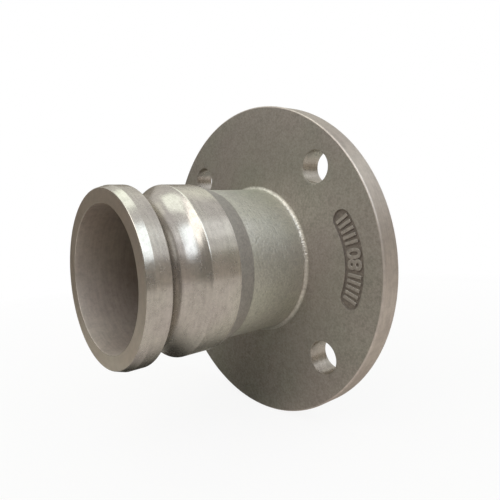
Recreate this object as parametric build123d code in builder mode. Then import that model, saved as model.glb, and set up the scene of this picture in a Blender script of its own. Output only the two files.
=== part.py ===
from build123d import *
import math
import os

# A flanged camlock adapter: a male cam spigot on a short tube, welded into a drilled flange.
# Lengths are in millimetres. The origin is the centre of the gasket face, +Y leaves that face
# along the bore, the spigot's nose points along -Y, and +Z is up.

# Whole fitting, from the gasket face to the nose
overall_length = 112.0

# Cam spigot, the size that a 3 inch coupler takes
spigot_diameter = 91.44
nose_taper_length = 4.2
nose_taper_drop = 1.32
nose_land_length = 7.8
groove_radius = 12.7
groove_depth = 5.8
groove_lip_chamfer = 0.6
collar_length = 16.7
shoulder_taper_length = 11.0

# Walls and edges of the tube
groove_root_wall = 2.92
neck_wall = 5.4
nose_edge_chamfer = 0.5
bore_edge_chamfer = 0.6

# Flange, drilled for 80 mm pipe with its holes off the vertical centreline
flange_diameter = 185.0
flange_thickness = 13.0
front_rim_chamfer = 0.8
rear_rim_chamfer = 1.0
bolt_count = 4
bolt_edge_distance = 19.5
bolt_hole_diameter = 18.0
bolt_hole_chamfer = 0.4

# Recessed panel on the flange's front face, an arc with round ends that curves more than the rim
panel_edge_distance = 17.4
panel_arc_radius = 42.3
panel_width = 11.4
panel_depth = 1.0
panel_start_angle = -24.3
panel_sweep_angle = 56.6

# Welds between the tube and the flange
flange_bore_clearance = 0.3
front_weld_leg = 2.2
front_weld_hollow = 0.3
rear_weld_depth = 4.0

# Radii worked out from the sizes above
spigot_radius = spigot_diameter / 2
nose_face_radius = spigot_radius - nose_taper_drop
groove_root_radius = spigot_radius - groove_depth
bore_radius = groove_root_radius - groove_root_wall
neck_radius = bore_radius + neck_wall
flange_radius = flange_diameter / 2
flange_bore_radius = neck_radius + flange_bore_clearance
bolt_circle_radius = flange_radius - bolt_edge_distance
bolt_hole_radius = bolt_hole_diameter / 2
panel_centre_x = flange_radius - panel_edge_distance - panel_arc_radius

# Stations along the bore, from the nose back to the gasket face at Y 0
groove_half_width = math.sqrt(groove_radius**2 - (groove_radius - groove_depth) ** 2)
nose_y = -overall_length
land_front_y = nose_y + nose_taper_length
groove_front_y = land_front_y + nose_land_length
groove_mid_y = groove_front_y + groove_half_width
groove_rear_y = groove_mid_y + groove_half_width
collar_rear_y = groove_rear_y + collar_length
neck_front_y = collar_rear_y + shoulder_taper_length
flange_front_y = -flange_thickness

# The flange's front face, seen from the nose: X stays X, and the sketch's Y is the model's Z
front_face = Plane(origin=(0, flange_front_y, 0), x_dir=(1, 0, 0), z_dir=(0, -1, 0))

# Spigot: nose taper, nose land, cam groove, collar, shoulder taper and neck, in one turned tube
with BuildPart() as spigot:
    with BuildSketch(Plane.XY):
        with BuildLine():
            Polyline(
                (bore_radius, nose_y),
                (bore_radius, 0),
                (neck_radius, 0),
                (neck_radius, neck_front_y),
                (spigot_radius, collar_rear_y),
                (spigot_radius, groove_rear_y),
            )
            ThreePointArc(
                (spigot_radius, groove_rear_y),
                (groove_root_radius, groove_mid_y),
                (spigot_radius, groove_front_y),
            )
            Polyline(
                (spigot_radius, groove_front_y),
                (spigot_radius, land_front_y),
                (nose_face_radius, nose_y),
                (bore_radius, nose_y),
            )
        make_face()
    revolve(axis=Axis.Y)

    rings = spigot.edges().filter_by(GeomType.CIRCLE)
    bore_rings = rings.filter_by(lambda edge: math.isclose(edge.radius, bore_radius))
    nose_ring = rings.filter_by(lambda edge: math.isclose(edge.radius, nose_face_radius))
    groove_lips = rings.filter_by(
        lambda edge: math.isclose(edge.radius, spigot_radius)
        and (
            math.isclose(edge.arc_center.Y, groove_front_y)
            or math.isclose(edge.arc_center.Y, groove_rear_y)
        )
    )
    chamfer(bore_rings, bore_edge_chamfer)
    chamfer(nose_ring, nose_edge_chamfer)
    chamfer(groove_lips, groove_lip_chamfer)
spigot.part.label = "spigot"

# Flange: a turned ring with the rear weld bevel, then its bolt holes and the recessed panel
with BuildPart() as flange:
    with BuildSketch(Plane.XY):
        with BuildLine():
            Polyline(
                (flange_bore_radius, flange_front_y),
                (flange_radius - front_rim_chamfer, flange_front_y),
                (flange_radius, flange_front_y + front_rim_chamfer),
                (flange_radius, -rear_rim_chamfer),
                (flange_radius - rear_rim_chamfer, 0),
                (flange_bore_radius + rear_weld_depth, 0),
                (flange_bore_radius, -rear_weld_depth),
                close=True,
            )
        make_face()
    revolve(axis=Axis.Y)

    with BuildSketch(front_face):
        with PolarLocations(bolt_circle_radius, bolt_count, start_angle=180 / bolt_count):
            Circle(bolt_hole_radius)
    extrude(amount=-flange_thickness, mode=Mode.SUBTRACT)
    hole_edges = flange.edges(Select.LAST).filter_by(GeomType.CIRCLE)
    chamfer(hole_edges, bolt_hole_chamfer)

    with BuildSketch(front_face):
        panel_line = CenterArc(
            (panel_centre_x, 0),
            panel_arc_radius,
            panel_start_angle,
            panel_sweep_angle,
            mode=Mode.PRIVATE,
        )
        SlotArc(panel_line, panel_width)
    extrude(amount=-panel_depth, mode=Mode.SUBTRACT)
flange.part.label = "flange"

# Front weld: a hollow fillet all round, on the neck and on the flange's front face
with BuildPart() as front_fillet_weld:
    with BuildSketch(Plane.XY):
        with BuildLine():
            weld_root = (neck_radius, flange_front_y)
            weld_foot = (neck_radius + front_weld_leg, flange_front_y)
            weld_top = (neck_radius, flange_front_y - front_weld_leg)
            throat_offset = front_weld_leg / 2 - front_weld_hollow / math.sqrt(2)
            weld_throat = (neck_radius + throat_offset, flange_front_y - throat_offset)
            Polyline(weld_top, weld_root, weld_foot)
            ThreePointArc(weld_foot, weld_throat, weld_top)
        make_face()
    revolve(axis=Axis.Y)
front_fillet_weld.part.label = "front_fillet_weld"

# Rear weld: fills the bevel between the tube's end and the flange, faced flush with both
with BuildPart() as rear_groove_weld:
    with BuildSketch(Plane.XY):
        with BuildLine():
            Polyline(
                (neck_radius, -rear_weld_depth),
                (flange_bore_radius, -rear_weld_depth),
                (flange_bore_radius + rear_weld_depth, 0),
                (neck_radius, 0),
                close=True,
            )
        make_face()
    revolve(axis=Axis.Y)
rear_groove_weld.part.label = "rear_groove_weld"

os.makedirs("parts", exist_ok=True)
export_step(spigot.part, "parts/spigot.step")
export_step(flange.part, "parts/flange.step")
export_step(front_fillet_weld.part, "parts/front_fillet_weld.step")
export_step(rear_groove_weld.part, "parts/rear_groove_weld.step")
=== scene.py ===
"""Looks of a flanged camlock adapter: turned and blasted stainless steel in a pale studio.

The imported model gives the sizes. Each visible piece is built here as a mesh in metres, in the same
frame: the bore lies along Y, the nose points along -Y, the gasket face is at Y 0 and +Z is up.
"""
import logging
import math
from collections.abc import Callable
from dataclasses import dataclass
from enum import Enum

import bmesh
import bpy
from mathutils import Matrix, Vector, noise


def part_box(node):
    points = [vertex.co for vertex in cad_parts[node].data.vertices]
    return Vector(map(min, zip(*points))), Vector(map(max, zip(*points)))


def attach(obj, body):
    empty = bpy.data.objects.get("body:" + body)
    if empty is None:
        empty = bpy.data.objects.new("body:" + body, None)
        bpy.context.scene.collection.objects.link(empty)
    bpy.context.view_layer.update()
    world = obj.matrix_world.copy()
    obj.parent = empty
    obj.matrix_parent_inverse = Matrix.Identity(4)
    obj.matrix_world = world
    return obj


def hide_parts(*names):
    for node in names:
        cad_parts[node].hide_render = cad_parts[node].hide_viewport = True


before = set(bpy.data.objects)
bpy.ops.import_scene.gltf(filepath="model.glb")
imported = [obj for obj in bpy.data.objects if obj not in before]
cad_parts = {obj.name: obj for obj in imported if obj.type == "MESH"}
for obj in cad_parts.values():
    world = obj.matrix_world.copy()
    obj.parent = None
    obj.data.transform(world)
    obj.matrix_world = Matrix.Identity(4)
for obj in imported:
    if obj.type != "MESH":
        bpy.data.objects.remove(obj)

MM = 0.001
BODY = "root"
BORE_AXIS = Vector((0, 1, 0))
STEPS_AROUND = 240
ROUNDING_STEPS = 4
MERGE_DISTANCE = 0.001 * MM
NEAR_DISTANCE = 0.002 * MM
SHARP_ANGLE = math.radians(28)

Color = tuple[float, float, float]
Place = tuple[float, float, float]
Span = tuple[float, float]
Ring = list[Vector]
BMesh = bmesh.types.BMesh
Piece = bpy.types.Object
Material = bpy.types.Material
Tree = bpy.types.NodeTree
Node = bpy.types.Node
Socket = bpy.types.NodeSocket
Sockets = bpy.types.bpy_prop_collection

WHITE: Color = (1.0, 1.0, 1.0)

log = logging.getLogger("camlock_adapter")


class Slot(Enum):
    """The record's material slots."""

    TURNED = "machined_steel"
    CAST = "blasted_steel"


class NodeGraph:
    """Adds and joins the nodes of one shader tree."""

    def __init__(self, tree: Tree) -> None:
        """Keeps the tree that the nodes go into."""
        self.tree = tree

    def add(self, kind: str, **settings: object) -> Node:
        """Adds a node.

        Args:
            kind: The node's type name in Blender.
            settings: Properties of the node to set.

        Returns:
            The new node.
        """
        node = self.tree.nodes.new(kind)
        for name, value in settings.items():
            setattr(node, name, value)
        return node

    def feed(self, target: Socket, value: object) -> None:
        """Links a socket to an input, or sets the input's own value.

        Args:
            target: The input.
            value: A socket, or a plain value of the input's kind.
        """
        if isinstance(value, Socket):
            self.tree.links.new(value, target)
        else:
            target.default_value = value

    def feed_all(self, node: Node, *values: object, **named: object) -> Node:
        """Feeds several inputs of a node.

        Args:
            node: The node.
            values: What goes into its first inputs, in order.
            named: What goes into others, by the inputs' names.

        Returns:
            The same node.
        """
        for target, value in zip(node.inputs, values):
            self.feed(target, value)
        for name, value in named.items():
            self.feed(node.inputs[name], value)
        return node

    def math(self, operation: str, *values: object) -> Socket:
        """Works out a number from sockets or numbers, in order, with a Math node."""
        node = self.add("ShaderNodeMath", operation=operation)
        return self.feed_all(node, *values).outputs[0]

    def weighed(self, base: float, *terms: tuple[Socket, float]) -> Socket:
        """Adds up values, each times its own share.

        Args:
            base: What the sum starts from.
            terms: Each value with its share.

        Returns:
            The sum.
        """
        total = base
        for value, share in terms:
            total = self.math("MULTIPLY_ADD", value, share, total)
        return total

    def fit(self, value: Socket, low: float, high: float, start: float = 0.0, end: float = 1.0) -> Socket:
        """Maps a value from the span low to high onto the span start to end, held at its ends."""
        node = self.add("ShaderNodeMapRange", clamp=True)
        return self.feed_all(node, value, low, high, start, end).outputs[0]

    def noise(self, vector: Socket, scale: float, detail: float, roughness: float = 0.5) -> Socket:
        """Adds three-dimensional noise.

        Args:
            vector: The place to read it at.
            scale: Features per metre.
            detail: Octaves added to the first.
            roughness: How strong each further octave is.

        Returns:
            The noise, from 0 to 1.
        """
        node = self.add("ShaderNodeTexNoise", noise_dimensions="3D")
        self.feed_all(node, Vector=vector, Scale=scale, Detail=detail, Roughness=roughness)
        return node.outputs["Fac"]

    def axes(self, vector: Socket) -> Sockets:
        """Splits a vector into its X, Y and Z."""
        return self.feed_all(self.add("ShaderNodeSeparateXYZ"), vector).outputs

    def measured(self, operation: str, *vectors: object) -> Socket:
        """Works out a number from vectors, in order, with a Vector Math node."""
        node = self.add("ShaderNodeVectorMath", operation=operation)
        return self.feed_all(node, *vectors).outputs["Value"]

    def scaled(self, vector: object, share: Socket) -> Socket:
        """Multiplies a vector or a colour by a number."""
        node = self.add("ShaderNodeVectorMath", operation="SCALE")
        return self.feed_all(node, vector, Scale=share).outputs[0]

    def tinted(self, share: Socket, first: Color, second: Color) -> Socket:
        """Mixes two colours.

        Args:
            share: How much of the second colour shows, from 0 to 1.
            first: The first colour.
            second: The second colour.

        Returns:
            The mixed colour.
        """
        node = self.feed_all(self.add("ShaderNodeMix", data_type="RGBA"), share)
        # A Mix node repeats its names for each kind of value, so its colours go by number.
        self.feed(node.inputs[6], (*first, 1.0))
        self.feed(node.inputs[7], (*second, 1.0))
        return node.outputs[2]


class Canvas(NodeGraph):
    """The graph of a new material, with the place on the piece that its nodes read."""

    def __init__(self, name: str) -> None:
        """Makes the material.

        Args:
            name: Its name.
        """
        self.material = bpy.data.materials.new(name)
        self.material.use_nodes = True
        super().__init__(self.material.node_tree)
        self.shader = self.tree.nodes["Principled BSDF"]
        self.place = self.add("ShaderNodeTexCoord").outputs["Object"]

    def effect(self, group: Tree, **inputs: object) -> Sockets:
        """Places an effect group at the place, with its other inputs, and gives what it puts out."""
        node = self.add("ShaderNodeGroup", node_tree=group)
        return self.feed_all(node, Place=self.place, **inputs).outputs


def effect_group(
    name: str, amounts: tuple[str, ...], results: tuple[str, ...]
) -> tuple[NodeGraph, Sockets, Sockets]:
    """Makes an empty shader group, which is given the place.

    Args:
        name: The group's name.
        amounts: The names of the numbers that it is given too.
        results: The names of the numbers that it puts out.

    Returns:
        The group's graph, the sockets that it is given, and the sockets that it fills.
    """
    tree = bpy.data.node_groups.new(name, "ShaderNodeTree")
    tree.interface.new_socket(name="Place", in_out="INPUT", socket_type="NodeSocketVector")
    for label in amounts:
        tree.interface.new_socket(name=label, in_out="INPUT", socket_type="NodeSocketFloat")
    for label in results:
        tree.interface.new_socket(name=label, in_out="OUTPUT", socket_type="NodeSocketFloat")
    given = tree.nodes.new("NodeGroupInput").outputs
    result = tree.nodes.new("NodeGroupOutput").inputs
    return NodeGraph(tree), given, result


@dataclass(frozen=True)
class Grain:
    """Fine isotropic grain, as blasting leaves it, with shallow pits."""

    fine_per_m: float = 1900.0
    coarse_per_m: float = 820.0
    pits_per_m: float = 430.0
    detail: float = 1.0
    fine_share: float = 0.4
    coarse_share: float = 0.6
    pit_edge: Span = (0.08, 0.34)
    speck_span: Span = (0.36, 0.64)

    def group(self) -> Tree:
        """Builds the group.

        Returns:
            The group, which gives a height for the bump and the grain's own tone.
        """
        graph, given, result = effect_group("grain", ("Pits",), ("Height", "Speck"))
        place = given["Place"]
        fine = graph.noise(place, self.fine_per_m, self.detail)
        coarse = graph.noise(place, self.coarse_per_m, self.detail)
        cells = graph.add("ShaderNodeTexVoronoi", feature="SMOOTH_F1", voronoi_dimensions="3D")
        graph.feed_all(cells, Vector=place, Scale=self.pits_per_m)
        pit = graph.fit(cells.outputs["Distance"], *self.pit_edge, 1.0, 0.0)
        sunk = graph.math("MULTIPLY", pit, given["Pits"])
        mixed = graph.weighed(0.0, (fine, self.fine_share), (coarse, self.coarse_share))
        speck = graph.fit(mixed, *self.speck_span)
        graph.feed(result["Height"], graph.math("SUBTRACT", mixed, sunk))
        graph.feed(result["Speck"], graph.math("SUBTRACT", speck, sunk))
        return graph.tree


@dataclass(frozen=True)
class Stains:
    """Soft clouds and blotches that handling and pickling leave on bare steel."""

    clouds_per_m: float = 28.0
    cloud_detail: float = 2.0
    cloud_span: Span = (0.32, 0.68)
    blotches_per_m: float = 260.0
    blotch_detail: float = 3.0
    blotch_roughness: float = 0.6
    blotch_span: Span = (0.42, 0.66)

    def group(self) -> Tree:
        """Builds the group.

        Returns:
            The group, which gives a cloudy tone and a mask of blotches, both from 0 to 1.
        """
        graph, given, result = effect_group("stains", (), ("Cloud", "Blotch"))
        place = given["Place"]
        cloud = graph.noise(place, self.clouds_per_m, self.cloud_detail)
        blotch = graph.noise(place, self.blotches_per_m, self.blotch_detail, self.blotch_roughness)
        graph.feed(result["Cloud"], graph.fit(cloud, *self.cloud_span))
        graph.feed(result["Blotch"], graph.fit(blotch, *self.blotch_span))
        return graph.tree


@dataclass(frozen=True)
class LatheMarks:
    """Fine rings that a turning tool leaves, and the streaks that lie along them."""

    rings_per_m: float = 1150.0
    ring_detail: float = 1.0
    streaks_per_m: float = 700.0
    streak_turns_per_m: float = 55.0
    streak_detail: float = 2.0
    radius_share: float = 0.55

    def group(self) -> Tree:
        """Builds the group.

        Returns:
            The group, which gives a height for the bump and the tone of the streaks.
        """
        graph, given, result = effect_group("lathe_marks", (), ("Height", "Streak"))
        across, along, up = graph.axes(given["Place"])
        squares = graph.math("ADD", graph.math("POWER", across, 2.0), graph.math("POWER", up, 2.0))
        radius = graph.math("SQRT", squares)
        tool_path = graph.math("MULTIPLY_ADD", radius, self.radius_share, along)
        rings = graph.add("ShaderNodeTexNoise", noise_dimensions="1D")
        graph.feed_all(rings, W=tool_path, Scale=self.rings_per_m, Detail=self.ring_detail)
        graph.feed(result["Height"], rings.outputs["Fac"])
        drawn = graph.add("ShaderNodeCombineXYZ")
        ratio = self.streak_turns_per_m / self.streaks_per_m
        aside, rise = graph.math("MULTIPLY", across, ratio), graph.math("MULTIPLY", up, ratio)
        graph.feed_all(drawn, aside, tool_path, rise)
        streak = graph.noise(drawn.outputs[0], self.streaks_per_m, self.streak_detail)
        graph.feed(result["Streak"], streak)
        return graph.tree


class Effects:
    """The effect groups that the finishes share, each built once."""

    def __init__(self) -> None:
        """Builds the groups."""
        self.grain = Grain().group()
        self.stains = Stains().group()
        self.lathe_marks = LatheMarks().group()


@dataclass(frozen=True)
class Surface:
    """What changes over a surface.

    The tone, stain and dullness go from 0 to 1 and set the brightness, the colour and the
    roughness. The height goes to the bump.
    """

    tone: Socket
    stain: Socket
    dullness: Socket
    height: Socket


@dataclass(frozen=True)
class Finish:
    """What every steel finish here has.

    The stain is the colour where clouds lie on the bare steel. The spread and the swing say how
    far the brightness, as a share, and the roughness go either way.
    """

    name: str
    color: Color
    stain: Color
    roughness: float
    metallic: float
    bump_depth: float
    spread: float = 0.2
    swing: float = 0.05
    edge_tint: Color = WHITE

    def surface(self, canvas: Canvas, effects: Effects) -> Surface:
        """Works out what changes over the surface, which each kind of finish does its own way."""
        raise NotImplementedError

    def shaded(self, canvas: Canvas, surface: Surface) -> Socket:
        """Stains the finish's colour, and lightens or darkens it by the tone."""
        level = canvas.fit(surface.tone, 0.0, 1.0, 1.0 - self.spread, 1.0 + self.spread)
        return canvas.scaled(canvas.tinted(surface.stain, self.color, self.stain), level)

    def material(self, effects: Effects) -> Material:
        """Builds the material.

        Args:
            effects: The shared effects.

        Returns:
            The material.
        """
        canvas = Canvas(self.name)
        inputs = canvas.shader.inputs
        inputs["Metallic"].default_value = self.metallic
        inputs["Specular Tint"].default_value = (*self.edge_tint, 1.0)
        surface = self.surface(canvas, effects)
        low, high = self.roughness - self.swing, self.roughness + self.swing
        canvas.feed(inputs["Base Color"], self.shaded(canvas, surface))
        canvas.feed(inputs["Roughness"], canvas.fit(surface.dullness, 0.0, 1.0, low, high))
        bump = canvas.add("ShaderNodeBump")
        canvas.feed_all(bump, Distance=self.bump_depth, Height=surface.height)
        canvas.feed(inputs["Normal"], bump.outputs[0])
        return canvas.material


@dataclass(frozen=True)
class BlastedCasting(Finish):
    """Matte as-cast skin, blasted with fine grit, whose light specks are smoother."""

    spread: float = 0.16
    swing: float = 0.06
    pits: float = 0.3
    tone_base: float = 0.25
    speck_tone: float = 0.8
    blotch_tone: float = -0.35

    def surface(self, canvas: Canvas, effects: Effects) -> Surface:
        """Works out grain, pits and blotches.

        Args:
            canvas: The material's graph.
            effects: The shared effects.

        Returns:
            The changing values.
        """
        grain, stains = canvas.effect(effects.grain, Pits=self.pits), canvas.effect(effects.stains)
        speck, blotch = grain["Speck"], stains["Blotch"]
        tone = canvas.weighed(self.tone_base, (speck, self.speck_tone), (blotch, self.blotch_tone))
        dullness = canvas.math("SUBTRACT", 1.0, speck)
        return Surface(tone, stains["Cloud"], dullness, grain["Height"])


@dataclass(frozen=True)
class TurnedSatin(Finish):
    """Machined steel with fine tool rings under a light grain."""

    edge_tint: Color = (0.78, 0.75, 0.69)
    grain_share: float = 0.6
    tone_base: float = 0.25
    speck_tone: float = 0.3
    streak_tone: float = 0.8
    blotch_tone: float = -0.3
    cloud_tone: float = -0.4
    speck_dullness: float = 0.5
    blotch_dullness: float = 0.5

    def surface(self, canvas: Canvas, effects: Effects) -> Surface:
        """Works out tool rings, streaks, grain and stains.

        Args:
            canvas: The material's graph.
            effects: The shared effects.

        Returns:
            The changing values.
        """
        marks = canvas.effect(effects.lathe_marks)
        grain, stains = canvas.effect(effects.grain), canvas.effect(effects.stains)
        speck, blotch, cloud = grain["Speck"], stains["Blotch"], stains["Cloud"]
        tone = canvas.weighed(
            self.tone_base, (speck, self.speck_tone), (marks["Streak"], self.streak_tone),
            (blotch, self.blotch_tone), (cloud, self.cloud_tone),
        )
        dullness = canvas.weighed(0.0, (speck, self.speck_dullness), (blotch, self.blotch_dullness))
        height = canvas.math("MULTIPLY_ADD", grain["Height"], self.grain_share, marks["Height"])
        return Surface(tone, cloud, dullness, height)


@dataclass(frozen=True)
class BoredSatin(TurnedSatin):
    """The bore's finish, with painted shade that darkens it from both ends towards the middle."""

    nose_end: float = -112.0 * MM
    painted_shade_from: float = -55.0 * MM
    painted_shade_to: float = -35.0 * MM
    painted_shade_share: float = 0.2

    def shaded(self, canvas: Canvas, surface: Surface) -> Socket:
        """Shades the colour as the other finishes do, and darkens it with depth by painted shade.

        Args:
            canvas: The material's graph.
            surface: The changing values.

        Returns:
            The colour that changes over the surface.
        """
        along = canvas.axes(canvas.place)[1]
        # Painted shade: the colour darkens deeper in the bore, towards the middle from both ends.
        ahead = canvas.fit(along, self.nose_end, self.painted_shade_from, 1.0, self.painted_shade_share)
        behind = canvas.fit(along, self.painted_shade_to, 0.0, self.painted_shade_share, 1.0)
        level = canvas.math("MAXIMUM", ahead, behind)
        return canvas.scaled(super().shaded(canvas, surface), level)


class Steel(Enum):
    """The finishes that the pieces show, with lighter and darker copies of one cast skin as painted light
    and shade.
    """

    TURNED = TurnedSatin(
        "turned_satin_steel", color=(0.425, 0.412, 0.346), stain=(0.425, 0.386, 0.354),
        roughness=0.25, metallic=0.83, bump_depth=0.02 * MM,
    )
    RIM = TurnedSatin(
        "turned_rim_steel", color=(0.44, 0.395, 0.35), stain=(0.44, 0.385, 0.345),
        roughness=0.48, metallic=0.74, bump_depth=0.02 * MM, edge_tint=(0.35, 0.33, 0.28),
    )
    FACED = TurnedSatin(
        "faced_nose_steel", color=(0.455, 0.40, 0.342), stain=(0.46, 0.387, 0.325),
        roughness=0.4, metallic=0.78, bump_depth=0.02 * MM, grain_share=0.3, spread=0.12,
    )
    # Rougher than the neck, and darker too, which is painted shade where the shoulder tapers away from
    # the light.
    SHOULDER = BlastedCasting(
        "rough_shoulder_steel_painted_shade", color=(0.385, 0.363, 0.323), stain=(0.39, 0.355, 0.322),
        roughness=0.52, metallic=0.62, bump_depth=0.14 * MM,
    )
    BORED = BoredSatin(
        "bored_satin_steel", color=(0.60, 0.53, 0.46), stain=(0.61, 0.515, 0.45),
        roughness=0.5, metallic=0.5, bump_depth=0.02 * MM,
    )
    DRILLED = TurnedSatin(
        "drilled_hole_steel", color=(0.37, 0.345, 0.30), stain=(0.37, 0.335, 0.30),
        roughness=0.3, metallic=0.9, bump_depth=0.06 * MM,
    )
    # The neck shares the flange face's cast skin; its copy is lighter, which is painted light where the
    # neck catches more light.
    NECK = BlastedCasting(
        "blasted_neck_steel", color=(0.525, 0.52, 0.432), stain=(0.53, 0.508, 0.45),
        roughness=0.44, metallic=0.8, bump_depth=0.2 * MM,
    )
    WELD = BlastedCasting(
        "blasted_weld_steel", color=(0.45, 0.435, 0.372), stain=(0.46, 0.425, 0.375),
        roughness=0.48, metallic=0.95, bump_depth=0.4 * MM,
    )
    # The flange face's copy of the cast skin is darker, which is painted shade where it gets less light.
    PLATE = BlastedCasting(
        "blasted_flange_steel", color=(0.294, 0.276, 0.230), stain=(0.313, 0.275, 0.241),
        roughness=0.56, metallic=0.58, bump_depth=0.09 * MM,
    )
    # The recess is a darker copy of the flange's cast skin, which is painted shade in the panel.
    RECESS = BlastedCasting(
        "painted_shade_recess_steel", color=(0.20, 0.175, 0.145), stain=(0.21, 0.173, 0.148),
        roughness=0.66, metallic=0.4, bump_depth=0.09 * MM,
    )
    MARK = BlastedCasting(
        "raised_mark_steel", color=(0.33, 0.30, 0.26), stain=(0.33, 0.29, 0.255),
        roughness=0.5, metallic=0.6, bump_depth=0.05 * MM,
    )


Steels = dict[Steel, Material]


def outward(angle: float) -> Vector:
    """Gives the direction at an angle about the bore, from +X towards +Z."""
    return Vector((math.cos(angle), 0, math.sin(angle)))


def held(share: float) -> float:
    """Holds a share between 0 and 1."""
    return min(max(share, 0.0), 1.0)


@dataclass(frozen=True)
class Corner:
    """A corner of a turned outline, with the size of its rounding."""

    radius: float
    station: float
    rounding: float = 0.0


def hollow_arc(centre: Corner, radius: float, middle: float, sweep: float, steps: int) -> list[Corner]:
    """Works out corners along an arc whose centre lies outside the metal.

    Args:
        centre: Where the arc's centre is.
        radius: The arc's own radius.
        middle: The angle of its middle, from the direction towards the bore round to +Y.
        sweep: How far it goes to either side of its middle.
        steps: How many edges it has.

    Returns:
        The corners, both ends included.
    """
    turns = [middle + sweep * (2 * step / steps - 1) for step in range(steps + 1)]
    return [
        Corner(centre.radius - radius * math.cos(turn), centre.station + radius * math.sin(turn))
        for turn in turns
    ]


class Turning:
    """A turned piece: its outline is spun about the bore, and its corners are rounded."""

    def __init__(self, corners: list[Corner], run: float) -> None:
        """Spins the outline.

        Args:
            corners: The outline's corners in order, closed from the last to the first.
            run: The longest edge that the outline keeps.
        """
        self.mesh = bmesh.new()
        points = [self.mesh.verts.new((corner.radius, corner.station, 0)) for corner in corners]
        edges = [self.mesh.edges.new((a, b)) for a, b in zip(points, points[1:] + points[:1])]
        for edge in edges:
            cuts = math.ceil(edge.calc_length() / run) - 1
            if cuts > 0:
                bmesh.ops.subdivide_edges(self.mesh, edges=[edge], cuts=cuts)
        outline = list(self.mesh.verts) + list(self.mesh.edges)
        bmesh.ops.spin(
            self.mesh, geom=outline, cent=(0, 0, 0), axis=BORE_AXIS, dvec=(0, 0, 0),
            angle=math.tau, steps=STEPS_AROUND, use_merge=True, use_duplicate=False,
        )
        bmesh.ops.remove_doubles(self.mesh, verts=self.mesh.verts, dist=MERGE_DISTANCE)
        bmesh.ops.recalc_face_normals(self.mesh, faces=self.mesh.faces)
        for corner in corners:
            if corner.rounding > 0:
                self.round_off(corner)

    def round_off(self, corner: Corner) -> None:
        """Bevels the ring of edges at one corner of the outline.

        Args:
            corner: The corner.
        """
        ring = [
            edge for edge in self.mesh.edges
            if all(
                abs(math.hypot(v.co.x, v.co.z) - corner.radius) < NEAR_DISTANCE
                and abs(v.co.y - corner.station) < NEAR_DISTANCE
                for v in edge.verts
            )
        ]
        bmesh.ops.bevel(
            self.mesh, geom=ring, offset=corner.rounding, offset_type="OFFSET",
            segments=ROUNDING_STEPS, profile=0.5, affect="EDGES", material=-1, clamp_overlap=True,
        )

    def paint(self, skin: Callable[[Vector, Vector], Steel], shown: tuple[Steel, ...]) -> None:
        """Gives each face its finish.

        Args:
            skin: The rule that names the finish for a face's centre and normal.
            shown: The piece's finishes, in the order of its materials.
        """
        self.mesh.normal_update()
        for face in self.mesh.faces:
            face.material_index = shown.index(skin(face.calc_center_median(), face.normal))

    def roughen(self, depth: float, size: float, share: Callable[[Vector], float]) -> None:
        """Moves the skin in and out by smooth noise, as a casting's is.

        Args:
            depth: The furthest that a point moves.
            size: The size of the swells.
            share: How much of the depth a place gets, from 0 to 1.
        """
        self.mesh.normal_update()
        shifts = [v.normal * noise.noise(v.co / size) * depth * share(v.co) for v in self.mesh.verts]
        for vert, shift in zip(self.mesh.verts, shifts):
            vert.co += shift


def in_scene(name: str, data: bpy.types.ID) -> Piece:
    """Makes an object and puts it in the scene.

    Args:
        name: The object's name.
        data: Its mesh, curve, camera or light.

    Returns:
        The new object.
    """
    thing = bpy.data.objects.new(name, data)
    bpy.context.scene.collection.objects.link(thing)
    return thing


def finished(mesh: BMesh, name: str, materials: list[Material]) -> Piece:
    """Makes an object of a mesh, smooth but for its sharp edges and where its material changes.

    Args:
        mesh: The mesh, which is freed.
        name: The piece's name.
        materials: Its materials, in the order of their indices.

    Returns:
        The new object, in the scene.
    """
    for face in mesh.faces:
        face.smooth = True
    for edge in mesh.edges:
        skins = {face.material_index for face in edge.link_faces}
        edge.smooth = edge.calc_face_angle(0.0) < SHARP_ANGLE and len(skins) == 1
    data = bpy.data.meshes.new(name)
    mesh.to_mesh(data)
    mesh.free()
    for material in materials:
        data.materials.append(material)
    return in_scene(name, data)


def evaluated_mesh(shape: Piece) -> bpy.types.Mesh:
    """Makes a mesh of an object as its modifiers or its curve shape it.

    Args:
        shape: The object, in the scene.

    Returns:
        The new mesh.
    """
    bpy.context.view_layer.update()
    evaluated = shape.evaluated_get(bpy.context.evaluated_depsgraph_get())
    return bpy.data.meshes.new_from_object(evaluated)


def weigh_normals(piece: Piece) -> None:
    """Lets the large faces set the shading at their edges, so flats stay flat up to a rounding."""
    weigh = piece.modifiers.new("weigh_normals", "WEIGHTED_NORMAL")
    weigh.keep_sharp, weigh.mode = True, "FACE_AREA"


def lofted(rings: list[Ring]) -> BMesh:
    """Bridges rings of equally many points into one closed solid.

    Args:
        rings: Rings from one end of the solid to the other.

    Returns:
        The solid's mesh.
    """
    mesh = bmesh.new()
    loops = []
    for ring in rings:
        verts = [mesh.verts.new(point) for point in ring]
        loops.append([mesh.edges.new((a, b)) for a, b in zip(verts, verts[1:] + verts[:1])])
    for lower, upper in zip(loops, loops[1:]):
        bmesh.ops.bridge_loops(mesh, edges=lower + upper)
    for end in (loops[0], loops[-1]):
        bmesh.ops.contextual_create(mesh, geom=end)
    bmesh.ops.recalc_face_normals(mesh, faces=mesh.faces)
    return mesh


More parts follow.
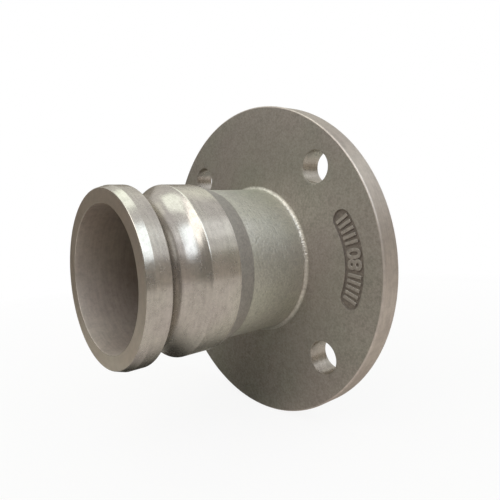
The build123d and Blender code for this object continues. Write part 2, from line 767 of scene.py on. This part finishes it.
@dataclass
class Spigot:
    """The turned tube: nose, cam groove and collar, then the as-cast shoulder and neck."""

    steels: Steels
    bore: float = 37.0 * MM
    neck: float = 42.4 * MM
    nose_taper_length: float = 4.2 * MM
    nose_taper_drop: float = 1.32 * MM
    nose_land: float = 7.8 * MM
    groove_radius: float = 12.7 * MM
    groove_depth: float = 5.8 * MM
    collar: float = 16.7 * MM
    shoulder: float = 11.0 * MM
    lip_rounding: float = 0.45 * MM
    nose_rounding: float = 0.35 * MM
    land_rounding: float = 0.15 * MM
    shoulder_rounding: float = 0.6 * MM
    bore_rounding: float = 0.3 * MM
    groove_steps: int = 28
    run: float = 2.4 * MM
    shown: tuple[Steel, ...] = (Steel.TURNED, Steel.NECK, Steel.SHOULDER, Steel.BORED, Steel.FACED)
    wall_margin: float = 0.1 * MM
    edge_margin: float = 1.0 * MM
    facing: float = 0.9
    swell_depth: float = 0.07 * MM
    swell_size: float = 11.0 * MM
    swell_margin: float = 2.0 * MM
    swell_run: float = 4.0 * MM

    def __post_init__(self) -> None:
        """Works out the stations along the bore from the CAD node and the named lengths."""
        low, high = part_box("spigot")
        self.outer, self.nose, self.rear = high.x, low.y, high.y
        self.land = self.nose + self.nose_taper_length
        self.lip = self.land + self.nose_land
        self.groove_reach = self.groove_radius - self.groove_depth
        self.groove_half = math.sqrt(self.groove_radius**2 - self.groove_reach**2)
        self.finish_line = self.lip + 2 * self.groove_half + self.collar
        self.neck_front = self.finish_line + self.shoulder

    def corners(self) -> list[Corner]:
        """Works out the outline.

        Returns:
            Its corners, from the bore's rear end round the nose to the neck's rear end.
        """
        centre = Corner(self.outer + self.groove_reach, self.lip + self.groove_half)
        sweep = math.asin(self.groove_half / self.groove_radius)
        groove = hollow_arc(centre, self.groove_radius, 0.0, sweep, self.groove_steps)
        return [
            Corner(self.bore, self.rear, self.bore_rounding),
            Corner(self.bore, self.nose, self.bore_rounding),
            Corner(self.outer - self.nose_taper_drop, self.nose, self.nose_rounding),
            Corner(self.outer, self.land, self.land_rounding),
            Corner(self.outer, self.lip, self.lip_rounding),
            *groove[1:-1],
            Corner(self.outer, self.lip + 2 * self.groove_half, self.lip_rounding),
            Corner(self.outer, self.finish_line),
            Corner(self.neck, self.neck_front, self.shoulder_rounding),
            Corner(self.neck, self.rear),
        ]

    def skin(self, place: Vector, normal: Vector) -> Steel:
        """Names a face's finish.

        Args:
            place: The face's centre.
            normal: Its normal.

        Returns:
            The finish: bored inside, faced at the nose, turned up to the collar and as cast behind.
        """
        radius = math.hypot(place.x, place.z)
        if radius < self.bore + self.wall_margin:
            return Steel.BORED
        if normal.y < -self.facing:
            return Steel.FACED
        at_rear = place.y > -self.edge_margin or radius < self.bore + self.edge_margin
        if place.y < self.finish_line or at_rear:
            return Steel.TURNED
        return Steel.SHOULDER if place.y < self.neck_front else Steel.NECK

    def swell(self, place: Vector) -> float:
        """Says how much the skin swells, fully a few millimetres away from the neck's two ends.

        Args:
            place: A place on the tube.

        Returns:
            The share, from 0 to 1.
        """
        if math.hypot(place.x, place.z) < self.bore + self.edge_margin:
            return 0.0
        room = min(place.y - self.neck_front, -place.y - self.swell_margin)
        return held(room / self.swell_run)

    def build(self) -> Piece:
        """Makes the piece.

        Returns:
            The piece, which stands for the CAD node.
        """
        turning = Turning(self.corners(), self.run)
        turning.paint(self.skin, self.shown)
        turning.roughen(self.swell_depth, self.swell_size, self.swell)
        materials = [self.steels[steel] for steel in self.shown]
        piece = finished(turning.mesh, "spigot_turned", materials)
        weigh_normals(piece)
        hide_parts("spigot")
        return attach(piece, BODY)


@dataclass(frozen=True)
class PanelArc:
    """The arc that the flange's panel follows, which curves more than the rim does.

    Its centre lies on the X axis, and its angles start from +X towards +Z.
    """

    centre: float = 32.8 * MM
    radius: float = 42.3 * MM
    width: float = 11.4 * MM
    start: float = math.radians(-24.3)
    sweep: float = math.radians(56.6)
    side_steps: int = 40
    cap_steps: int = 14

    def point(self, angle: float, aside: float = 0.0) -> Vector:
        """Gives a point of the arc, or one that stands aside from it, away from its centre."""
        return Vector((self.centre, 0, 0)) + outward(angle) * (self.radius + aside)

    def outline(self, spread: float) -> Ring:
        """Works out the panel's outline, round at both ends.

        Args:
            spread: How far it stands outside the panel's own outline.

        Returns:
            The outline's points.
        """
        half = self.width / 2 + spread
        ends = (
            (self.start + self.sweep, 0.0, -self.sweep, -half),
            (self.start, math.pi, self.sweep, half),
        )
        points = []
        for end, turn, sweep, aside in ends:
            for step in range(self.cap_steps + 1):
                around = end + turn + math.pi * step / self.cap_steps
                points.append(self.point(end) + outward(around) * half)
            for step in range(1, self.side_steps):
                points.append(self.point(end + sweep * step / self.side_steps, aside))
        return points


@dataclass
class Flange:
    """The drilled flange: a turned ring with four bolt holes and a recessed panel."""

    steels: Steels
    bolt_circle: float = 73.0 * MM
    bolt_hole: float = 9.0 * MM
    bolt_count: int = 4
    hole_chamfer: float = 0.3 * MM
    hole_steps: int = 72
    front_rounding: float = 0.8 * MM
    rear_chamfer: float = 1.0 * MM
    cutter_reach: float = 1.0 * MM
    panel: PanelArc = PanelArc()
    panel_depth: float = 1.0 * MM
    panel_ease: float = 0.22 * MM
    ease_steps: int = 4
    run: float = 3.0 * MM
    shown: tuple[Steel, ...] = (Steel.RIM, Steel.PLATE, Steel.RECESS, Steel.DRILLED)
    flat: float = 0.99
    flared: float = 0.1
    swell_depth: float = 0.06 * MM
    swell_size: float = 16.0 * MM
    swell_margin: float = 3.0 * MM
    swell_run: float = 6.0 * MM
    face_margin: float = 0.1 * MM

    def __post_init__(self) -> None:
        """Reads the ring's sizes from the CAD nodes."""
        low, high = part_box("flange")
        self.radius, self.front, self.rear = high.x, low.y, high.y
        weld_low, weld_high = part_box("rear_groove_weld")
        self.inner, self.bevel = weld_high.x + weld_low.y, -weld_low.y

    def ring(self) -> Turning:
        """Turns the ring and gives it its skins.

        Returns:
            The turned ring, not yet drilled.
        """
        outline = [
            Corner(self.inner, self.front),
            Corner(self.radius, self.front, self.front_rounding),
            Corner(self.radius, self.rear - self.rear_chamfer),
            Corner(self.radius - self.rear_chamfer, self.rear),
            Corner(self.inner + self.bevel, self.rear),
            Corner(self.inner, self.rear - self.bevel),
        ]
        turning = Turning(outline, self.run)
        turning.paint(self.skin, self.shown)
        turning.roughen(self.swell_depth, self.swell_size, self.swell)
        return turning

    def skin(self, place: Vector, normal: Vector) -> Steel:
        """Names a face's finish: only the front face inside its rounded rim is as cast."""
        return Steel.PLATE if normal.y < -self.flat else Steel.RIM

    def swell(self, place: Vector) -> float:
        """Says how much the skin swells, from 0 to 1: the front face does, but not its rim."""
        room = self.radius - self.swell_margin - math.hypot(place.x, place.z)
        return held(room / self.swell_run) if place.y < self.front + self.face_margin else 0.0

    def hole_cutter(self, angle: float) -> BMesh:
        """Makes the solid that one bolt hole is cut with, flared at both faces.

        Args:
            angle: Where the hole is on the bolt circle.

        Returns:
            The solid's mesh, with the finishes that the cut shows.
        """
        middle = outward(angle) * self.bolt_circle
        past, chamfer = self.cutter_reach, self.hole_chamfer
        levels = [
            (self.front - past, past + chamfer),
            (self.front + chamfer, 0.0),
            (self.rear - chamfer, 0.0),
            (self.rear + past, past + chamfer),
        ]
        turns = [math.tau * step / self.hole_steps for step in range(self.hole_steps)]
        cutter = lofted([
            [middle + outward(turn) * (self.bolt_hole + flare) + BORE_AXIS * level for turn in turns]
            for level, flare in levels
        ])
        cutter.normal_update()
        for face in cutter.faces:
            skin = Steel.PLATE if abs(face.normal.y) > self.flared else Steel.DRILLED
            face.material_index = self.shown.index(skin)
        return cutter

    def panel_cutter(self) -> BMesh:
        """Makes the solid that the panel is cut with, with a soft mouth and floor.

        Returns:
            The solid's mesh, with the finish that the cut shows.
        """
        floor, ease = self.front + self.panel_depth, self.panel_ease
        turns = [math.pi / 2 * step / self.ease_steps for step in range(self.ease_steps + 1)]
        bends = [(ease * (1 - math.cos(turn)), ease * (1 - math.sin(turn))) for turn in turns]
        levels = [
            (self.front - ease, ease),
            *((self.front + slow, fast) for slow, fast in bends),
            *((floor - fast, -slow) for slow, fast in bends),
        ]
        cutter = lofted([
            [point + BORE_AXIS * level for point in self.panel.outline(spread)]
            for level, spread in levels
        ])
        # The cut's faces take the recess's darker colour, which is painted shade.
        for face in cutter.faces:
            face.material_index = self.shown.index(Steel.RECESS)
        return cutter

    def cut(self, plate: Piece, cutters: list[Piece]) -> None:
        """Cuts the plate, and removes the cutters.

        Args:
            plate: The ring's object.
            cutters: The solids that are cut away.
        """
        for cutter in cutters:
            cut = plate.modifiers.new("cut", "BOOLEAN")
            cut.operation, cut.solver, cut.object = "DIFFERENCE", "EXACT", cutter
        mesh = evaluated_mesh(plate)
        plate.modifiers.clear()
        plate.data = mesh
        for cutter in cutters:
            bpy.data.objects.remove(cutter)

    def build(self) -> Piece:
        """Makes the piece.

        Returns:
            The piece, which stands for the CAD node.
        """
        materials = [self.steels[steel] for steel in self.shown]
        piece = finished(self.ring().mesh, "flange_plate", materials)
        pitch = math.tau / self.bolt_count
        cutters = [
            finished(self.hole_cutter(pitch * (number + 0.5)), f"hole_cutter_{number}", materials)
            for number in range(self.bolt_count)
        ]
        cutters.append(finished(self.panel_cutter(), "panel_cutter", materials))
        self.cut(piece, cutters)
        weigh_normals(piece)
        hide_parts("flange")
        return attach(piece, BODY)


@dataclass
class SizeMark:
    """The raised mark in the panel: the nominal bore in millimetres between plain bars.

    Its characters stand on the panel's arc, with their tops towards the bore.
    """

    steels: Steels
    panel: PanelArc = PanelArc()
    number: str = "80"
    bars_each_side: int = 5
    digit_pitch: float = 5.7 * MM
    first_bar: float = 8.6 * MM
    bar_pitch: float = 3.3 * MM
    height: float = 8.4 * MM
    height_per_size: float = 0.73
    stroke_gain: float = 0.022
    curve_steps: int = 6
    bar_width: float = 1.75 * MM
    floor: float = -12.0 * MM
    rise: float = 0.8 * MM
    sunk: float = 0.2 * MM
    edge: float = 0.22 * MM
    digit_edge_steps: int = 2
    bar_edge_steps: int = 3

    def seat(self, angle: float) -> Matrix:
        """Seats a sign, which is made flat and facing up about its middle, on the panel's arc."""
        turn = Matrix((outward(angle + math.pi / 2), -outward(angle), -BORE_AXIS)).transposed().to_4x4()
        return Matrix.Translation(self.panel.point(angle) + BORE_AXIS * self.floor) @ turn

    def digit(self, figure: str) -> BMesh:
        """Makes one digit in relief, with eased edges.

        Args:
            figure: The digit.

        Returns:
            Its mesh, about its own middle.
        """
        text = bpy.data.curves.new("digit", "FONT")
        text.body = figure
        text.size = self.height / self.height_per_size
        text.offset = self.stroke_gain * self.height
        text.extrude = (self.rise + self.sunk) / 2 - self.edge
        text.bevel_depth = self.edge
        text.bevel_resolution = self.digit_edge_steps
        text.resolution_u = self.curve_steps
        holder = in_scene("digit", text)
        data = evaluated_mesh(holder)
        mesh = bmesh.new()
        mesh.from_mesh(data)
        bpy.data.objects.remove(holder)
        bpy.data.meshes.remove(data)
        bmesh.ops.remove_doubles(mesh, verts=mesh.verts, dist=NEAR_DISTANCE)
        bmesh.ops.recalc_face_normals(mesh, faces=mesh.faces)
        across, up = ([v.co[axis] for v in mesh.verts] for axis in (0, 1))
        middle = (min(across) + max(across)) / 2, (min(up) + max(up)) / 2
        shift = (-middle[0], -middle[1], (self.rise - self.sunk) / 2)
        bmesh.ops.translate(mesh, vec=shift, verts=mesh.verts)
        return mesh

    def bar(self) -> BMesh:
        """Makes one plain bar in relief, with eased edges.

        Returns:
            Its mesh, about its own middle.
        """
        mesh = bmesh.new()
        bmesh.ops.create_cube(mesh, size=1.0)
        bmesh.ops.scale(mesh, vec=(self.bar_width, self.height, self.rise + self.sunk), verts=mesh.verts)
        bmesh.ops.translate(mesh, vec=(0, 0, (self.rise - self.sunk) / 2), verts=mesh.verts)
        bmesh.ops.bevel(
            mesh, geom=mesh.edges[:], offset=self.edge, offset_type="OFFSET",
            segments=self.bar_edge_steps, profile=0.5, affect="EDGES", material=-1,
        )
        return mesh

    def layout(self) -> list[tuple[float, str]]:
        """Lays the signs out along the arc.

        Returns:
            How far from the arc's middle each stands, and its digit, which is empty for a bar.
        """
        half = (len(self.number) - 1) / 2
        digits = [(self.digit_pitch * (place - half), sign) for place, sign in enumerate(self.number)]
        reach = [self.first_bar + self.bar_pitch * step for step in range(self.bars_each_side)]
        return digits + [(side * along, "") for side in (-1, 1) for along in reach]

    def build(self) -> Piece:
        """Makes the piece.

        Returns:
            The piece, which lies in the flange's panel.
        """
        mark = bmesh.new()
        middle = self.panel.start + self.panel.sweep / 2
        for along, sign in self.layout():
            shape = self.digit(sign) if sign else self.bar()
            seat = self.seat(middle + along / self.panel.radius)
            bmesh.ops.transform(shape, matrix=seat, verts=shape.verts)
            data = bpy.data.meshes.new("sign")
            shape.to_mesh(data)
            shape.free()
            mark.from_mesh(data)
            bpy.data.meshes.remove(data)
        piece = finished(mark, "size_mark", [self.steels[Steel.MARK]])
        weigh_normals(piece)
        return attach(piece, BODY)


@dataclass
class Welds:
    """The hollow fillet in front of the flange, and the faced ring behind it."""

    steels: Steels
    neck: float = 42.4 * MM
    clearance: float = 0.3 * MM
    leg: float = 2.2 * MM
    hollow: float = 0.62 * MM
    hollow_steps: int = 10
    sunk: float = 0.25 * MM
    run: float = 2.0 * MM

    def front(self) -> Piece:
        """Makes the front fillet.

        Returns:
            The piece, which stands for its CAD node.
        """
        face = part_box("flange")[0].y
        # The arc spans the two legs' ends, and its middle lies the hollow's depth inside that chord.
        chord = self.leg * math.sqrt(2)
        radius = chord**2 / (8 * self.hollow) + self.hollow / 2
        reach = (radius - self.hollow) / math.sqrt(2) + self.leg / 2
        sweep = math.asin(chord / 2 / radius)
        centre = Corner(self.neck + reach, face - reach)
        arc = hollow_arc(centre, radius, math.pi / 4, sweep, self.hollow_steps)
        inside, behind = self.neck - self.sunk, face + self.sunk
        outline = [
            Corner(inside, behind),
            Corner(inside, arc[0].station),
            *arc,
            Corner(arc[-1].radius, behind),
        ]
        turning = Turning(outline, self.run)
        piece = finished(turning.mesh, "front_weld_bead", [self.steels[Steel.WELD]])
        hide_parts("front_fillet_weld")
        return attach(piece, BODY)

    def rear(self) -> Piece:
        """Makes the faced weld ring in the gasket face.

        Returns:
            The piece, which stands for its CAD node.
        """
        low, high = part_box("rear_groove_weld")
        inside = self.neck - self.sunk
        outline = [
            Corner(inside, low.y),
            Corner(self.neck + self.clearance, low.y),
            Corner(high.x, high.y),
            Corner(inside, high.y),
        ]
        turning = Turning(outline, self.run)
        piece = finished(turning.mesh, "rear_weld_ring", [self.steels[Steel.TURNED]])
        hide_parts("rear_groove_weld")
        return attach(piece, BODY)


@dataclass(frozen=True)
class PhotoCamera:
    """The camera, where the photograph was taken from. Its angles are in degrees."""

    place: Place = (221.054 * MM, -204.205 * MM, 30.517 * MM)
    azimuth: float = 49.62
    elevation: float = 1.20
    roll: float = -2.66
    lens_mm: float = 33.85
    sensor_mm: float = 36.0
    shift_up: float = -0.0621
    sight: Span = (0.01, 20.0)

    def build(self) -> None:
        """Makes the camera and gives it to the scene."""
        data = bpy.data.cameras.new("photo_camera")
        data.sensor_width = self.sensor_mm
        data.lens = self.lens_mm
        data.shift_y = self.shift_up
        data.clip_start, data.clip_end = self.sight
        camera = in_scene("photo_camera", data)
        turn = (
            Matrix.Rotation(math.radians(self.azimuth), 4, "Z")
            @ Matrix.Rotation(math.radians(90 - self.elevation), 4, "X")
            @ Matrix.Rotation(math.radians(self.roll), 4, "Z")
        )
        camera.matrix_world = Matrix.Translation(Vector(self.place)) @ turn
        bpy.context.scene.camera = camera


@dataclass(frozen=True)
class SoftBox:
    """One area lamp that faces the part, placed by the direction that it hangs in.

    The azimuth goes round from +Y towards +X in degrees, and the level is how bright its face looks.
    """

    name: str
    azimuth: float
    elevation: float
    size: Span
    level: float
    color: Color
    distance: float = 1.5

    def build(self, target: Vector) -> None:
        """Makes the lamp.

        Args:
            target: The point that it faces.
        """
        az, el = math.radians(self.azimuth), math.radians(self.elevation)
        aim = Vector((math.sin(az) * math.cos(el), math.cos(az) * math.cos(el), math.sin(el)))
        data = bpy.data.lights.new(self.name, "AREA")
        data.shape = "RECTANGLE"
        data.size, data.size_y = self.size
        data.energy = self.level * math.pi * self.size[0] * self.size[1]
        data.color = self.color
        lamp = in_scene(self.name, data)
        lamp.location = target + aim * self.distance
        lamp.rotation_mode = "QUATERNION"
        lamp.rotation_quaternion = (-aim).to_track_quat("-Z", "Y")


@dataclass
class Studio:
    """A pale floor in a white room, with a low grey wall round it and soft lamps.

    A fade is the stretch, in metres, over which a value goes from one end to the other. The bright
    side is the direction of the part's right, where the floor glows.
    """

    segments: int = 96
    floor_reach: float = 4.0
    floor_color: Color = (0.84, 0.80, 0.765)
    floor_roughness: float = 0.9
    floor_gloss: float = 0.1
    white_fade: Span = (0.1, 0.6)
    white_share: float = 0.9
    bright_side: Place = (0.94, -0.34, 0.0)
    glow_color: Color = (1.0, 0.93, 0.88)
    glow_fade: Span = (0.0, 0.07)
    glow_share: float = 0.75
    painted_shadow_spot: Span = (-0.045, -0.083)
    painted_shadow_fade: Span = (0.025, 0.095)
    painted_shadow_share: float = 0.06
    front_fade: Span = (-0.17, -0.08)
    front_share: float = 0.2
    wall_distance: float = 0.5
    wall_top: float = 0.185
    wall_rise: float = 0.12
    wall_fade: Span = (-0.3, 0.15)
    wall_left: Color = (0.44, 0.375, 0.315)
    wall_right: Color = (0.72, 0.66, 0.60)
    world_level: float = 0.2
    target: Place = (0.0, -0.06, 0.0)
    soft_boxes: tuple[SoftBox, ...] = (
        SoftBox("window_right", 96, 42, (1.3, 1.2), 2.15, (0.85, 1.0, 1.13)),
        SoftBox("window_front", 168, 45, (1.5, 0.8), 2.4, (0.995, 0.985, 0.97)),
        SoftBox("ceiling_left", -105, 73, (1.3, 0.95), 1.5, (0.89, 1.03, 0.93)),
        SoftBox("window_rear", 37, 41, (0.55, 0.5), 0.6, (0.93, 1.0, 1.08)),
        SoftBox("skylight_rear", -34, 45, (0.55, 0.45), 0.5, (0.94, 1.02, 0.86)),
    )

    def __post_init__(self) -> None:
        """Puts the floor under the flange's rim."""
        self.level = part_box("flange")[0].z

    def under_nose(self, graph: Canvas, path: Sockets) -> Socket:
        """Works out how bright the floor is near the part, for what the part sees of it.

        Args:
            graph: The floor's graph.
            path: The kind of ray.

        Returns:
            The brightness, less under the nose, and less in front too but for reflections.
        """
        # Painted shadow: for what the part sees, the floor is darker under the nose, and for bounced
        # light in front of it too.
        below = graph.measured("DISTANCE", graph.place, (*self.painted_shadow_spot, self.level))
        spot = graph.fit(below, *self.painted_shadow_fade, self.painted_shadow_share, 1.0)
        ahead = graph.fit(graph.axes(graph.place)[1], *self.front_fade, self.front_share, 1.0)
        ahead = graph.math("MAXIMUM", ahead, path["Is Glossy Ray"])
        return graph.math("MULTIPLY", spot, ahead)

    def glowing(self, graph: Canvas, path: Sockets, under: Socket) -> Socket:
        """Works out how much of the floor's own light shows.

        Args:
            graph: The floor's graph.
            path: The kind of ray.
            under: How bright the floor is near the part.

        Returns:
            The share: white away from the part for the camera, and at its right for the part.
        """
        away = graph.measured("LENGTH", graph.place)
        white = graph.fit(away, *self.white_fade, self.white_share, 1.0)
        shown = graph.math("MULTIPLY", white, path["Is Camera Ray"])
        aside = graph.measured("DOT_PRODUCT", graph.place, self.bright_side)
        glow = graph.fit(aside, *self.glow_fade, 0.0, self.glow_share)
        met = graph.math("MAXIMUM", path["Is Glossy Ray"], path["Is Diffuse Ray"])
        met = graph.math("MULTIPLY", graph.math("MULTIPLY", glow, met), under)
        return graph.math("MAXIMUM", shown, met)

    def floor(self) -> None:
        """Lays the floor, which keeps the part's shadow."""
        mesh = bmesh.new()
        bmesh.ops.create_circle(mesh, cap_ends=True, segments=self.segments, radius=self.floor_reach)
        bmesh.ops.translate(mesh, vec=(0, 0, self.level), verts=mesh.verts)
        graph = Canvas("pale_floor")
        matte = graph.shader
        matte.inputs["Roughness"].default_value = self.floor_roughness
        matte.inputs["Specular IOR Level"].default_value = self.floor_gloss
        path = graph.add("ShaderNodeLightPath").outputs
        seen, under = path["Is Camera Ray"], self.under_nose(graph, path)
        shade = graph.math("MAXIMUM", under, seen)
        graph.feed(matte.inputs["Base Color"], graph.scaled(self.floor_color, shade))
        glow = graph.add("ShaderNodeEmission")
        graph.feed(glow.inputs["Color"], graph.tinted(seen, self.glow_color, WHITE))
        mix = graph.add("ShaderNodeMixShader")
        graph.feed_all(mix, self.glowing(graph, path, under), matte.outputs[0], glow.outputs[0])
        output = graph.tree.nodes["Material Output"]
        graph.feed(output.inputs["Surface"], mix.outputs[0])
        finished(mesh, "floor", [graph.material])

    def wall(self) -> None:
        """Stands a low grey wall round the floor, taller at the left, which the camera doesn't see."""
        mesh = bmesh.new()
        height = self.wall_top - self.level
        bmesh.ops.create_cone(
            mesh, cap_ends=False, segments=self.segments, radius1=self.wall_distance,
            radius2=self.wall_distance, depth=height,
        )
        bmesh.ops.translate(mesh, vec=(0, 0, self.level + height / 2), verts=mesh.verts)
        for vert in mesh.verts:
            if vert.co.z > 0:
                away = -vert.co.dot(Vector(self.bright_side)) / self.wall_distance
                vert.co.z += self.wall_rise * max(away, 0.0)
        graph = Canvas("grey_wall")
        aside = graph.measured("DOT_PRODUCT", graph.place, self.bright_side)
        tint = graph.tinted(graph.fit(aside, *self.wall_fade), self.wall_left, self.wall_right)
        graph.feed(graph.shader.inputs["Base Color"], tint)
        graph.shader.inputs["Roughness"].default_value = 1.0
        graph.shader.inputs["Specular IOR Level"].default_value = 0.0
        wall = finished(mesh, "low_wall", [graph.material])
        wall.visible_camera = False

    def world(self) -> None:
        """Makes the world white to the camera and to reflections, and softer as a lamp."""
        world = bpy.data.worlds.new("white_room")
        world.use_nodes = True
        bpy.context.scene.world = world
        graph = NodeGraph(world.node_tree)
        path = graph.add("ShaderNodeLightPath").outputs
        seen = graph.math("MAXIMUM", path["Is Camera Ray"], path["Is Glossy Ray"])
        seen = graph.math("MAXIMUM", seen, path["Is Transmission Ray"])
        sky = world.node_tree.nodes["Background"]
        strength = graph.fit(seen, 0.0, 1.0, self.world_level, 1.0)
        graph.feed_all(sky, Color=(*WHITE, 1.0), Strength=strength)

    def build(self) -> None:
        """Makes the whole studio."""
        self.floor()
        self.wall()
        self.world()
        for lamp in self.soft_boxes:
            lamp.build(Vector(self.target))


def main() -> None:
    logging.basicConfig(level=logging.INFO, format="%(name)s: %(message)s")
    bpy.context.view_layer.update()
    bpy.context.scene.view_settings.view_transform = "Standard"
    PhotoCamera().build()
    Studio().build()
    effects = Effects()
    steels = {steel: steel.value.material(effects) for steel in Steel}
    welds = Welds(steels)
    for piece in (
        Spigot(steels).build(),
        Flange(steels).build(),
        SizeMark(steels).build(),
        welds.front(),
        welds.rear(),
    ):
        log.info("%s: %d faces", piece.name, len(piece.data.polygons))


if __name__ == "__main__":
    main()
